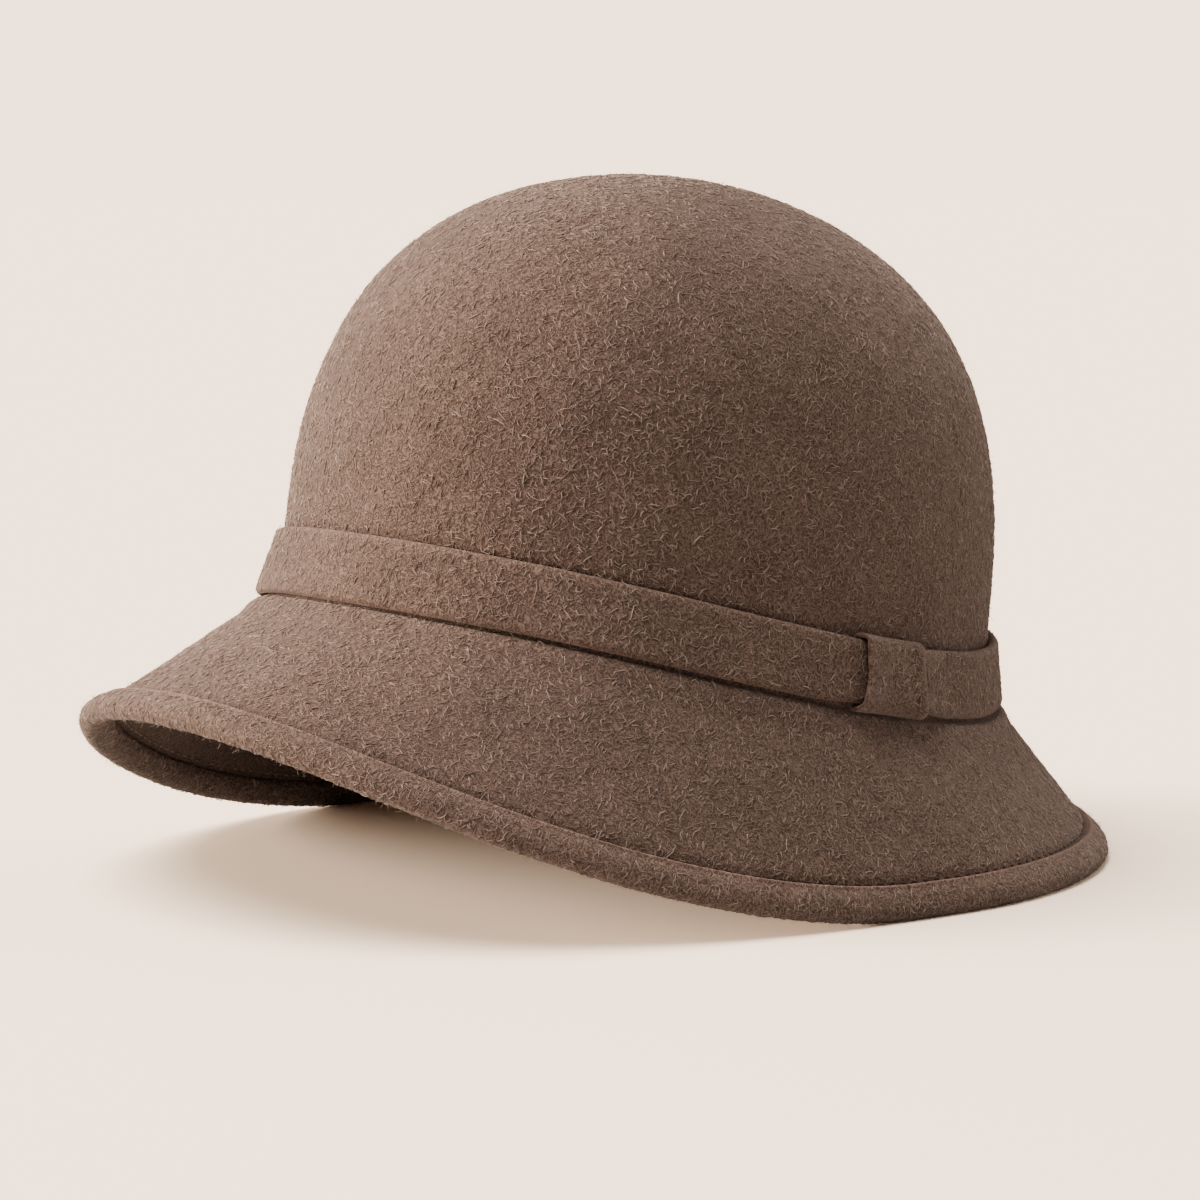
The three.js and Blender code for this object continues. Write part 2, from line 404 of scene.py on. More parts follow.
def strip_outline(half, radius, edge_steps, face_steps):
    """A strip's section as (along, out, on_edge): half circles at its ends joined by straight faces."""
    bend = np.linspace(0, math.pi, edge_steps)
    face = np.linspace(0, 1, face_steps)[1:-1]
    low = np.stack([-1 - 0 * bend, -np.sin(bend), np.cos(bend)], -1)
    inner = np.stack([2 * face - 1, 0 * face, -1 + 0 * face], -1)
    rows = np.concatenate([low, inner, -low, -inner])
    along = rows[:, :1] * half + rows[:, 1:2] * radius
    return along, rows[:, 2:3] * radius


def along_band(angle, grown, edge_steps=EDGE_STEPS, face_steps=12, lift=0.0):
    """A strip round the band's middle line: the band's own section, grown outwards on every side. Its
    outer half may stand further off by the lift."""
    t = trim()
    near = drawn_in(angle)
    line = head_line(angle)
    stands = band_stand(angle)
    foot, head = on_wall(angle, stands[0], line), on_wall(angle, stands[1], line + t.band_height)
    rising = head - foot
    half = np.linalg.norm(rising, axis=-1) / 2 - t.band_thickness / 2 - t.band_pinch * near
    rising = unit(rising)
    step = 1e-4
    out = unit(np.cross(on_wall(angle + step, 0, 0) - on_wall(angle - step, 0, 0), rising))
    shift = (t.band_lift * near - t.band_thickness / 2)[:, None]
    middle = (foot + head) / 2 + out * shift
    along, outwards = strip_outline(half, t.band_thickness / 2 + grown, edge_steps, face_steps)
    outwards = outwards + lift * smooth(outwards / (t.band_thickness / 2 + grown))
    return middle + rising * along[..., None] + out * outwards[..., None]


# Meshes


def grid_faces(rows, columns, closed_rows):
    """Quads between the rows and columns of a grid that closes round its columns."""
    r = np.arange(rows if closed_rows else rows - 1)[:, None]
    c = np.arange(columns)[None, :]
    low, left = (r + 1) % rows, (c + 1) % columns
    corners = [r * columns + c, low * columns + c, low * columns + left, r * columns + left]
    return np.stack(np.broadcast_arrays(*corners), -1).reshape(-1, 4)


def facing_out(points, faces):
    """The quads in the order that gives the closed mesh a positive volume."""
    a, b, c, d = (points[faces[:, i]] for i in range(4))
    volume = dot(a, np.cross(b, c) + np.cross(c, d)).sum()
    return faces if volume > 0 else faces[:, ::-1]


def add_piece(name, points, faces, finish, replaced=None):
    mesh = bpy.data.meshes.new(name)
    mesh.from_pydata(points.tolist(), [], faces if isinstance(faces, list) else faces.tolist())
    mesh.polygons.foreach_set("use_smooth", np.ones(len(mesh.polygons), bool))
    mesh.materials.append(finish)
    mesh.update()
    piece = bpy.data.objects.new(name, mesh)
    bpy.context.collection.objects.link(piece)
    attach(piece, "root")
    if replaced:
        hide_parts(replaced)
    return piece


def add_ring(name, grid, finish, replaced=None):
    """A closed ring from a grid of section points by places round the hat."""
    points = grid.reshape(-1, 3)
    faces = facing_out(points, grid_faces(grid.shape[0], grid.shape[1], True))
    return add_piece(name, points, faces, finish, replaced)


def add_shell(name, grid, finish, replaced=None):
    """A closed shell whose first and last rows are single points, joined by fans."""
    rows, columns = grid.shape[:2]
    points = np.concatenate([grid[0, :1], grid[1:-1].reshape(-1, 3), grid[-1, :1]])
    body = grid_faces(rows - 2, columns, False) + 1
    here = np.arange(columns)
    beside = (here + 1) % columns
    last = len(points) - 1
    ring = last - columns
    first_fan = np.stack([0 * here, here + 1, beside + 1], -1)
    last_fan = np.stack([0 * here + last, ring + beside, ring + here], -1)
    faces = body.tolist() + first_fan.tolist() + last_fan.tolist()
    return add_piece(name, points, faces, finish, replaced)


def normals_of(grid, closed_rows=False):
    """Outward normals of a grid whose rows run down the hat and whose columns run round it."""
    across = np.roll(grid, -1, 1) - np.roll(grid, 1, 1)
    down = np.roll(grid, -1, 0) - np.roll(grid, 1, 0) if closed_rows else np.gradient(grid, axis=0)
    return unit(np.cross(down, across))


def mark(piece, name, values, repeats):
    """Gives the points values for a material to read: how much painted highlight a row gets along a lit fold
    or edge, how bright a strand is.
    """
    layer = piece.data.attributes.new(name, "FLOAT", "POINT")
    layer.data.foreach_set("value", np.repeat(values, repeats).astype(np.float32))


class Face:
    """The part of a surface that carries nap: its points and normals, and whether it goes all round."""

    def __init__(self, grid, rows, columns=None, closed_rows=False):
        normals = normals_of(grid, closed_rows)
        self.round = columns is None
        columns = np.arange(grid.shape[1]) if columns is None else columns
        self.points = grid[rows][:, columns]
        self.normals = normals[rows][:, columns]
        self.across = np.roll(self.points, -1, 1) - self.points
        if not self.round:
            self.across[:, -1] = self.across[:, -2]
        self.down = np.gradient(self.points, axis=0)

    def scatter(self, density, rng):
        """Places spread evenly over the area: a cell is drawn by its area, then a spot in it."""
        area = np.linalg.norm(np.cross(np.diff(self.points, axis=0), self.across[:-1]), axis=-1)
        if not self.round:
            area[:, -1] = 0
        count = int(area.sum() / MM**2 * density)
        cell = np.sort(rng.choice(area.size, count, p=area.ravel() / area.sum()))
        u, v = np.unravel_index(cell, area.shape)
        return u + rng.random(count), v + rng.random(count)


# Nap: curls and hairs laid on the surfaces

# Curls: points, greatest bend in radians, and in millimetres the ends' depth and the arch's height
CURL_STEPS = 4
CURL_BEND = 2.9
CURL_SUNK = 0.12
CURL_RISE = 0.1
CURL_RISE_MORE = 0.28

# Hairs: points, slant in radians (least, added), curl over (mean, spread), and depth of the root
HAIR_STEPS = 4
HAIR_SLANT = (0.35, 0.9)
HAIR_CURL = (0.8, 0.6)
HAIR_ROOT = 0.1 * MM


def sample(grid, u, v):
    """The grid between its points, straight along both ways; it closes round its columns."""
    i = np.clip(np.floor(u).astype(int), 0, grid.shape[0] - 2)
    j = np.floor(v).astype(int)
    a, b = (u - i)[..., None], (v - j)[..., None]
    j, k = j % grid.shape[1], (j + 1) % grid.shape[1]
    here = grid[i, j] * (1 - a) + grid[i + 1, j] * a
    beside = grid[i, k] * (1 - a) + grid[i + 1, k] * a
    return here * (1 - b) + beside * b


def strand_faces(count, rings):
    """Triangles of strands with a point at each end and three-sided rings between."""
    size = 3 * rings + 2
    side = np.arange(3)
    beside = (side + 1) % 3
    faces = [np.stack([0 * side, 1 + beside, 1 + side], -1)]
    for ring in range(rings - 1):
        here, there = 1 + 3 * ring, 4 + 3 * ring
        faces.append(np.stack([here + side, here + beside, there + beside], -1))
        faces.append(np.stack([here + side, there + beside, there + side], -1))
    end = 1 + 3 * (rings - 1)
    faces.append(np.stack([end + side, end + beside, 0 * side + size - 1], -1))
    one = np.concatenate(faces)
    return (np.arange(count)[:, None, None] * size + one).reshape(-1, 3)


def strands(path, facing, half):
    """Strand meshes from paths of points (strand, step, xyz): rings of three about each inner point,
    one corner away from the felt, and the ends drawn to points."""
    rings = path.shape[1] - 2
    along = unit(path[:, 2:] - path[:, :-2])
    side = unit(np.cross(facing[:, 1:-1], along))
    rise = np.cross(along, side)
    corners = [
        path[:, 1:-1] + (side * math.sin(a) + rise * math.cos(a)) * half for a in (0, TURN / 3, 2 * TURN / 3)
    ]
    body = np.stack(corners, 2).reshape(len(path), -1, 3)
    points = np.concatenate([path[:, :1], body, path[:, -1:]], 1)
    return points.reshape(-1, 3), strand_faces(len(path), rings)


def curl_paths(face, u, v, rng, lean, follow):
    """Paths of curls, a few points each. Each is centred on its place with a random heading that turns by
    up to the bend, in radians; its height over the felt is an arch. A lean keeps the headings near the way
    across the rows. Where follow is set the path keeps to the surface, however that bends."""
    count, steps = len(u), CURL_STEPS
    reach = look().curl_length * np.exp(rng.normal(0, 0.35, count))
    heading = math.pi / 2 + rng.normal(0, lean, count) if lean else rng.random(count) * TURN
    swing = rng.choice([-1, 1], count) * (0.25 + 0.75 * rng.random(count)) * CURL_BEND
    curve = rng.normal(0, 0.8, count)
    share = np.linspace(-0.5, 0.5, steps)
    angles = heading[:, None] + swing[:, None] * share + curve[:, None] * share**2 * 4
    stride = reach[:, None] / (steps - 1)
    x = np.cumsum(np.cos(angles) * stride, 1)
    y = np.cumsum(np.sin(angles) * stride, 1)
    x, y = x - x.mean(1, keepdims=True), y - y.mean(1, keepdims=True)
    spot, out = sample(face.points, u, v), unit(sample(face.normals, u, v))
    round_way, down_way = sample(face.across, u, v), sample(face.down, u, v)
    east = unit(round_way - out * dot(round_way, out)[:, None])
    south = np.cross(east, out)
    if follow:
        v2 = v[:, None] + x / np.linalg.norm(round_way, axis=-1)[:, None]
        u2 = u[:, None] + y / np.linalg.norm(down_way, axis=-1)[:, None]
        u2 = np.clip(u2, 0, len(face.points) - 1.001)
        base, facing = sample(face.points, u2, v2), unit(sample(face.normals, u2, v2))
    else:
        base = spot[:, None] + east[:, None] * x[..., None] + south[:, None] * y[..., None]
        facing = np.repeat(out[:, None], steps, 1)
    arch = np.sin(np.linspace(0, math.pi, steps))
    rise = ((CURL_RISE + CURL_RISE_MORE * rng.random((count, 1))) * arch - CURL_SUNK) * MM
    return base + facing * rise[..., None], facing


def add_strands(name, path, facing, half, shade, finish):
    """A piece of strands, with a brightness of its own for each strand."""
    path[..., 2] = np.maximum(path[..., 2], np.max(half) * 1.3)
    points, faces = strands(path, facing, half)
    piece = add_piece(name, points, faces, finish)
    mark(piece, "shade", shade, len(points) // len(path))


def add_curls(name, face, seed, finish, density=1.0, lean=0.0, follow=False, parts=1):
    """Curled nap on a face, in as many pieces as asked."""
    rng = np.random.default_rng(seed)
    u, v = face.scatter(look().curls * density, rng)
    path, facing = curl_paths(face, u, v, rng, lean, follow)
    half = look().curl_half * (0.6 + 0.8 * rng.random((len(u), 1, 1)))
    shade = rng.beta(1.6, 2.0, len(u))
    for i, here in enumerate(np.array_split(np.arange(len(u)), parts)):
        label = f"{name}_{i + 1}" if parts > 1 else name
        add_strands(label, path[here], facing[here], half[here], shade[here], finish)


def add_hairs(name, face, seed, finish, density=1.0, reach=1.0, hang=0.0):
    """Loose hairs that leave the felt at a slant and curl over in a random direction."""
    rng = np.random.default_rng(seed)
    s = look()
    u, v = face.scatter(s.hairs * density, rng)
    count = len(u)
    spot, out = sample(face.points, u, v), unit(sample(face.normals, u, v))
    side = unit(np.cross(out, rng.normal(size=(count, 3))))
    size = (s.hair_length * reach * np.exp(rng.normal(0, 0.25, count)))[:, None]
    slant = (HAIR_SLANT[0] + HAIR_SLANT[1] * rng.random(count))[:, None]
    curl = rng.normal(*HAIR_CURL, count)[:, None]
    twist = np.cross(out, side) * rng.normal(0, 0.35, (count, 1))
    path = []
    place = spot - out * HAIR_ROOT
    for share in np.linspace(0, 1, HAIR_STEPS):
        path.append(place)
        angle = slant + curl * share
        ahead = out * np.cos(angle) + side * np.sin(angle) + twist * share
        ahead[:, 2] -= hang
        place = place + unit(ahead) * size / (HAIR_STEPS - 1)
    facing = np.repeat(out[:, None], HAIR_STEPS, 1)
    half = np.full((count, 1, 1), s.hair_half)
    add_strands(name, np.stack(path, 1), facing, half, 0.6 + 0.4 * rng.random(count), finish)


# Materials

# The bloom on wool; how much paler the band's felt is than the body's; and how much the binding is paled,
# painted light standing in for the light the floor throws up on the bound edge
BLOOM = "d9c4b8"
BAND_TONE = 1.02
BINDING_PAINTED_BOUNCE = 1.15

# The felt's pattern: its warp in millimetres, and its scales in waves a millimetre
WARP = 2.2
RIDGE_SCALES = (0.58, 0.70)
RIDGE_LINES = 5.0
CHOOSER_SCALE = 0.42
FIBRE_SCALE = 2.1
PATCH_SCALE = 0.055


def node(tree, kind, inputs=None, **settings):
    """Adds a node with its settings, and its inputs as values or links."""
    made = tree.nodes.new(kind)
    for key, value in settings.items():
        setattr(made, key, value)
    for key, value in (inputs or {}).items():
        if isinstance(value, bpy.types.NodeSocket):
            tree.links.new(value, made.inputs[key])
        else:
            made.inputs[key].default_value = value
    return made


def maths(tree, operation, a, b):
    return node(tree, "ShaderNodeMath", {0: a, 1: b}, operation=operation).outputs[0]


def vectors(tree, operation, inputs):
    return node(tree, "ShaderNodeVectorMath", inputs, operation=operation).outputs[0]


def noise(tree, place, scale, detail, rough=0.5):
    inputs = {"Vector": place, "Scale": scale, "Detail": detail, "Roughness": rough}
    return node(tree, "ShaderNodeTexNoise", inputs)


def blend(tree, share, low, high):
    """Mixes two colours by a share."""
    inputs = {0: share, 6: (*low, 1), 7: (*high, 1)}
    return node(tree, "ShaderNodeMix", inputs, data_type="RGBA").outputs[2]


def new_material(name):
    """An empty material of that name with a Principled surface, and its node tree."""
    made = bpy.data.materials.new(name)
    made.use_nodes = True
    tree = made.node_tree
    tree.nodes.clear()
    surface = node(tree, "ShaderNodeBsdfPrincipled")
    node(tree, "ShaderNodeOutputMaterial", {"Surface": surface.outputs[0]})
    return made, tree, surface


def add_bloom(surface, weight, spread):
    """Wool's dull shine, and its soft bloom where it is seen edge on."""
    surface.inputs["Specular IOR Level"].default_value = 0.25
    surface.inputs["Sheen Weight"].default_value = weight
    surface.inputs["Sheen Roughness"].default_value = spread
    surface.inputs["Sheen Tint"].default_value = (*linear(BLOOM), 1)


def ridges(tree, place, offset, scale, lines):
    """Curved lines where a soft noise passes whole steps: a triangle wave of the noise times lines."""
    cloud = noise(tree, vectors(tree, "ADD", {0: place, 1: offset}), scale, 1.0, 0.4)
    stepped = maths(tree, "MULTIPLY", cloud.outputs[0], lines)
    return maths(tree, "MULTIPLY", maths(tree, "PINGPONG", stepped, 0.5), 2.0)


def wool_felt(name, tone_and_painted_light=1.0):
    """Napped wool felt, blocked with steam and brushed: a mat of fine crimped wool whose short curls lie
    every way. Its colour is darkened in the relief's hollows between the curls, painted shade, and paled on
    their tops and along lit folds and edges, painted highlight. It is matt, with a soft bloom where it is
    seen edge on."""
    s = look()
    made, tree, surface = new_material(name)
    coordinates = node(tree, "ShaderNodeTexCoord").outputs["Object"]
    place = vectors(tree, "SCALE", {0: coordinates, "Scale": 1 / MM})
    warp = noise(tree, place, 0.5, 1.0)
    push = vectors(tree, "MULTIPLY_ADD", {0: warp.outputs[1], 1: (WARP, WARP, WARP), 2: place})
    first = ridges(tree, push, (0, 0, 0), RIDGE_SCALES[0], RIDGE_LINES)
    second = ridges(tree, push, (41, 17, 29), RIDGE_SCALES[1], RIDGE_LINES)
    chooser = noise(tree, place, CHOOSER_SCALE, 0.0)
    chosen = {0: chooser.outputs[0], 1: 0.44, 2: 0.56}
    share = node(tree, "ShaderNodeMapRange", chosen, interpolation_type="SMOOTHSTEP").outputs[0]
    curl = node(tree, "ShaderNodeMix", {0: share, 2: first, 3: second}, data_type="FLOAT").outputs[0]
    fine = noise(tree, push, FIBRE_SCALE, 2.0, 0.6).outputs[0]
    height = maths(tree, "ADD", maths(tree, "MULTIPLY", curl, 0.55), maths(tree, "MULTIPLY", fine, 0.55))
    patches = noise(tree, place, PATCH_SCALE, 3.0, 0.55).outputs[0]
    # Colour by the relief's height: painted shade in the hollows between curls, painted highlight on their
    # tops.
    ramp = node(tree, "ShaderNodeValToRGB", {0: height})
    stops = ((0.22, s.felt_hollow_painted_shade), (0.56, s.felt_mid), (0.86, s.felt_top_painted_highlight))
    ramp.color_ramp.elements.new(0.5)
    for stop, (at, tint) in zip(ramp.color_ramp.elements, stops):
        stop.position = at
        stop.color = (*tint, 1)
    # The tone scales the colour: for the band its own paler felt, for the binding painted light standing in
    # for light thrown up from the floor.
    tones = {0: patches, 1: 0.3, 2: 0.7, 3: 0.88 * tone_and_painted_light, 4: 1.1 * tone_and_painted_light}
    bright = node(tree, "ShaderNodeMapRange", tones).outputs[0]
    # The attribute marks lit folds and edges, where the colour is paled: a painted highlight.
    painted_edge_highlight = node(tree, "ShaderNodeAttribute", attribute_name="painted_edge_highlight").outputs["Fac"]
    painted_highlight_gain = node(tree, "ShaderNodeMapRange", {0: painted_edge_highlight, 3: 1.0, 4: 1.0 + s.painted_edge_highlight}).outputs[0]
    shown = vectors(tree, "SCALE", {0: ramp.outputs[0], "Scale": maths(tree, "MULTIPLY", bright, painted_highlight_gain)})
    relief = {"Height": height, "Strength": 0.6, "Distance": 0.35 * MM}
    bump = node(tree, "ShaderNodeBump", relief).outputs[0]
    tree.links.new(shown, surface.inputs["Base Color"])
    tree.links.new(bump, surface.inputs["Normal"])
    surface.inputs["Roughness"].default_value = 0.92
    add_bloom(surface, 0.6, 0.45)
    return made


def wool_strand(name):
    """Single wool fibres and crimped locks on the felt's face, some duller and some paler. Each strand keeps
    one brightness of its own."""
    made, tree, surface = new_material(name)
    own = node(tree, "ShaderNodeAttribute", attribute_name="shade").outputs["Fac"]
    tint = blend(tree, own, look().curl_low, look().curl_high)
    tree.links.new(tint, surface.inputs["Base Color"])
    surface.inputs["Roughness"].default_value = 0.85
    add_bloom(surface, 0.5, 0.5)
    return made


def sewing_thread(name, tint):
    """Spun polyester sewing thread, two plies twisted: a faint slanting stripe and a dull shine."""
    made, tree, surface = new_material(name)
    coordinates = node(tree, "ShaderNodeTexCoord").outputs["Object"]
    twist = noise(tree, coordinates, 1.5 / MM, 1.0)
    pale = tuple(min(1.0, c * 1.5) for c in tint)
    tree.links.new(blend(tree, twist.outputs[0], tint, pale), surface.inputs["Base Color"])
    surface.inputs["Roughness"].default_value = 0.6
    return made


def plain_board(name):
    """Matt painted board for the floor, lit brightly: seen straight on it is over-exposed, and it throws
    an ordinary pale board's light back on the hat."""
    made, tree, surface = new_material(name)
    s = look()
    seen = node(tree, "ShaderNodeLightPath").outputs["Is Camera Ray"]
    bright = blend(tree, seen, s.floor_throw, [OVEREXPOSED * c for c in s.floor_colour])
    matt = node(tree, "ShaderNodeBsdfDiffuse", {"Color": bright})
    tree.links.new(matt.outputs[0], tree.nodes["Material Output"].inputs["Surface"])
    tree.nodes.remove(surface)
    return made


def material(name, make, *values):
    """The named material, made the first time that it is asked for."""
    return bpy.data.materials.get(name) or make(name, *values)


# Grids that several operators share: steps round the hat, rows, and the rows where a fold or a face lies

AROUND = 288
DOME_ROWS = 56
BRIM_ROWS = 30
BINDING_AROUND = 480
BINDING_ARC = 35
LIP_ROWS = 7
BAND_AROUND = 400
BAND_FACE = np.r_[-11:1]
BAND_TOP_FOLD = 22
KEEPER_STEPS = 26
KEEPER_BEND = 13
KEEPER_TALL = 16
KEEPER_FACE = np.r_[4 - KEEPER_STEPS : 0], np.r_[-KEEPER_TALL:1]
KEEPER_REAR_FOLD = 36

# Rows from the crease down to the brim's start, and the reach of crease and swelling
CREASE_ABOVE = 5
PRESS_ROWS = 4

# The bead along the binding's lip and the dip beside it, as shares of its half depth
BEAD_START = 0.68
BEAD_REACH = 0.14
BEAD_DIP = 0.5
DIP_PLACE = 0.5
DIP_REACH = 0.2
LIP_GAP = 0.05 * MM

# The keeper's rear fold and lifted front, as shares of its half width
FOLD_START = 0.45
FOLD_REACH = 0.35
FOLD_END = 0.82
LIFT_START = 0.1
FLARE_REACH = 10 * MM

# How much paler a fold is painted, a painted highlight along its lit edge, against 1 at the keeper's rear
BAND_PAINTED_HIGHLIGHT = 0.7
KEEPER_FRONT_PAINTED_HIGHLIGHT = 0.6


def body_outer(pressed=True):
    """The body's outer surface. Pressed, it has a groove in the brim along the binding's lip, a crease
    under the band, and a swelling of the brim against the band's foot except under the keeper."""
    t, turns = trim(), around(AROUND)
    grid, band_top, brim_start = outer_profile(turns, DOME_ROWS, BRIM_ROWS)
    if not pressed:
        return soften(grid), band_top, brim_start
    _, middle, down, out = brim_at(turns)
    before = -dot(grid - middle, down) - t.binding_depth
    rows = np.arange(len(grid))[:, None]
    groove = smooth(1 - before / GROOVE_REACH) * (rows >= brim_start)
    crease = hump(rows, brim_start - CREASE_ABOVE, PRESS_ROWS)
    swell = hump(rows, brim_start, PRESS_ROWS) * (1 - drawn_in(turns))
    inset = groove * t.seam_groove + crease * t.band_crease - swell * t.brim_swell
    return soften(grid - out * inset[..., None]), band_top, brim_start


def binding_grid():
    """The binding's section carried round the edge, with what would pass through the surface pressed flat.
    On the outside its folded lip stands up as a fine bead and ends close over the brim's groove."""
    t = trim()
    _, middle, down, out = brim_at(around(BINDING_AROUND))
    outline = binding_outline(np.cos(np.linspace(0, math.pi, BINDING_ARC)))
    back = -outline[:BINDING_ARC, 0] / t.binding_depth
    bead = smooth((back - BEAD_START) / BEAD_REACH) - BEAD_DIP * hump(back, DIP_PLACE, DIP_REACH)
    outline[:BINDING_ARC, 1] += t.seam_bead * bead * (outline[:BINDING_ARC, 1] > 0)
    outline[-1, 1] = shape().wall / 2 - t.seam_groove + LIP_GAP
    grid = middle + outline[:, :1, None] * down + outline[:, 1:, None] * out
    grid[..., 2] = np.maximum(grid[..., 2], 0)
    return soften(grid)


def band_grid():
    return soften(along_band(around(BAND_AROUND), 0.0))


def keeper_grid():
    """The keeper's own section, a strip with round edges, carried once round the band. Its front edge
    stands off, and its rear edge is folded under."""
    s, t = shape(), trim()
    half = t.keeper_width / 2
    radius = t.keeper_thickness / 2
    across, depth = strip_outline(half - radius, radius, EDGE_STEPS, KEEPER_STEPS)
    angle = t.keeper_angle + across[:, 0] / keeper_pace()
    side = across[:, 0] / half
    fold = smooth((side - FOLD_START) / FOLD_REACH) * (1 - smooth((side - FOLD_END) / (1 - FOLD_END)))
    lift = t.keeper_lift * smooth((-side - LIFT_START) / (1 - LIFT_START)) + t.keeper_fold * fold
    rows = [
        along_band(np.array([a]), s.play + radius + d, KEEPER_BEND, KEEPER_TALL, up)[:, 0]
        for a, d, up in zip(angle, depth[:, 0], lift)
    ]
    grid = np.stack(rows)
    low = smooth((grid[..., 2].mean(1, keepdims=True) - grid[..., 2]) / FLARE_REACH)
    swing = -t.keeper_flare / s.crown_half_width * smooth(-side)[:, None] * low
    x, y, z = grid[..., 0], grid[..., 1], grid[..., 2]
    turned = [x * np.cos(swing) - y * np.sin(swing), x * np.sin(swing) + y * np.cos(swing), z]
    return soften(np.stack(turned, -1))


# Lamps: name, strength, spread in degrees, direction towards the lamp, colour
LAMPS = (
    ("side window", 5.4, 34, (-0.63, -0.76, 0.17), "ffeddc"),
    ("ceiling softbox", 3.2, 50, (-0.22, -0.26, 0.94), "fff6ee"),
    ("back window", 1.0, 40, (-0.94, 0.28, 0.2), "fff0e2"),
    ("far wall", 0.7, 50, (0.34, 0.92, 0.2), "fff4ea"),
)
FILL = 0.22
OVEREXPOSED = 3.2
FLOOR_RADIUS = 20
FLOOR_SIDES = 96


def floor_light():
    """The light that falls on the open floor, over pi: each lamp by the sine of its height, and the fill."""
    s = look()
    light = np.array(s.floor_throw) * FILL
    for _, strength, _, towards, tint in LAMPS:
        light += np.array(linear(tint)) * strength * towards[2] / math.pi
    return light


class HAT_OT_stage(bpy.types.Operator):
    """Adds the pale floor, the soft light from the left and the camera"""

    bl_idname = "hat.stage"
    bl_label = "Stage, Light and Camera"

    def execute(self, context):
        turns = around(FLOOR_SIDES)
        rim = np.stack([np.sin(turns), np.cos(turns), 0 * turns], -1) * FLOOR_RADIUS
        mesh = bpy.data.meshes.new("floor")
        mesh.from_pydata(rim.tolist(), [], [list(range(FLOOR_SIDES))[::-1]])
        mesh.materials.append(material("plain board", plain_board))
        floor = bpy.data.objects.new("floor", mesh)
        context.collection.objects.link(floor)
        self.add_world(context.scene)
        for name, strength, spread, towards, tint in LAMPS:
            light = bpy.data.lights.new(name, "SUN")
            light.energy = strength
            light.angle = math.radians(spread)
            light.color = linear(tint)
            lamp = bpy.data.objects.new(name, light)
            context.collection.objects.link(lamp)
            lamp.location = np.array(towards) * 2
            lamp.rotation_euler = aim(-np.array(towards))
        self.add_camera(context)
        return {"FINISHED"}

    def add_world(self, scene):
        """A pale surround for the camera, as bright as the open floor, and a dim one as fill light."""
        world = bpy.data.worlds.new("pale surround")
        scene.world = world
        world.use_nodes = True
        tree = world.node_tree
        tree.nodes.clear()
        s = look()
        far = floor_light() * np.array(s.floor_colour) * OVEREXPOSED
        seen = node(tree, "ShaderNodeLightPath").outputs["Is Camera Ray"]
        dim = node(tree, "ShaderNodeBackground", {"Color": (*s.floor_throw, 1), "Strength": FILL})
        bright = node(tree, "ShaderNodeBackground", {"Color": (*(far / far.max()), 1), "Strength": far.max()})
        sky = node(tree, "ShaderNodeMixShader", {0: seen, 1: dim.outputs[0], 2: bright.outputs[0]})
        node(tree, "ShaderNodeOutputWorld", {"Surface": sky.outputs[0]})

    def add_camera(self, context):
        """A long lens low on the wearer's front left, aimed a little left of the hat's middle."""
        azimuth, elevation = math.radians(50.86), math.radians(6.27)
        level = math.cos(elevation)
        distance, side, height = 1.065, -0.0176, 0.06695
        back = np.array([math.sin(azimuth) * level, -math.cos(azimuth) * level, math.sin(elevation)])
        right = np.array([math.cos(azimuth), math.sin(azimuth), 0])
        target = np.array([0, shape().widest_y, height]) + right * side
        data = bpy.data.cameras.new("camera")
        data.lens = 120
        data.sensor_width = 36
        data.clip_start = 0.05
        camera = bpy.data.objects.new("camera", data)
        context.collection.objects.link(camera)
        camera.location = target + back * distance
        camera.rotation_euler = aim(-back)
        context.scene.camera = camera


def aim(direction):
    """Euler angles that turn an object's -Z to the direction, its Y as near up as can be."""
    x, y, z = unit(np.array(direction, float))
    return (math.acos(max(-1.0, min(1.0, -z))), 0.0, math.atan2(-x, y))


class HAT_OT_body(bpy.types.Operator):
    """Adds the felt body: crown and brim in one hollow piece"""

    bl_idname = "hat.body"
    bl_label = "Crown and Brim"

    def execute(self, context):
        """The inner surface is the unpressed outer one moved in along its normals by the felt's thickness.
        At the crest the normal is the crown's own axis, and at the edge it is the brim's."""
        outer, _, _ = body_outer()
        plain, _, _ = body_outer(pressed=False)
        normals = normals_of(plain)
        s = shape()
        normals[0] = (0, math.sin(s.lean_back), math.cos(s.lean_back))
        normals[-EDGE_ROWS:] = brim_at(around(AROUND))[3]
        inner = plain - normals * s.wall
        inner = np.concatenate([inner[:DOME_ROWS:2], inner[DOME_ROWS:]])
        grid = np.concatenate([outer, inner[::-1]])
        cloth = material("napped wool felt", wool_felt)
        add_shell("felt_body", grid, cloth, "crown_and_brim")
        return {"FINISHED"}


class HAT_OT_binding(bpy.types.Operator):
    """Adds the felt binding folded over the brim's edge"""

    bl_idname = "hat.binding"
    bl_label = "Brim Binding"

    def execute(self, context):
        # The binding's felt is paled: painted light standing in for light thrown up from the floor.
        cloth = material("folded wool felt binding", wool_felt, BINDING_PAINTED_BOUNCE)
        grid = binding_grid()
        piece = add_ring("felt_binding", grid, cloth, "brim_binding")
        rows = np.arange(len(grid))
        # The binding's folded lip is paled: a painted highlight where the lip catches the light.
        mark(piece, "painted_edge_highlight", smooth((LIP_ROWS - 0.5 - rows) / 2) * (rows > 0), BINDING_AROUND)
        return {"FINISHED"}


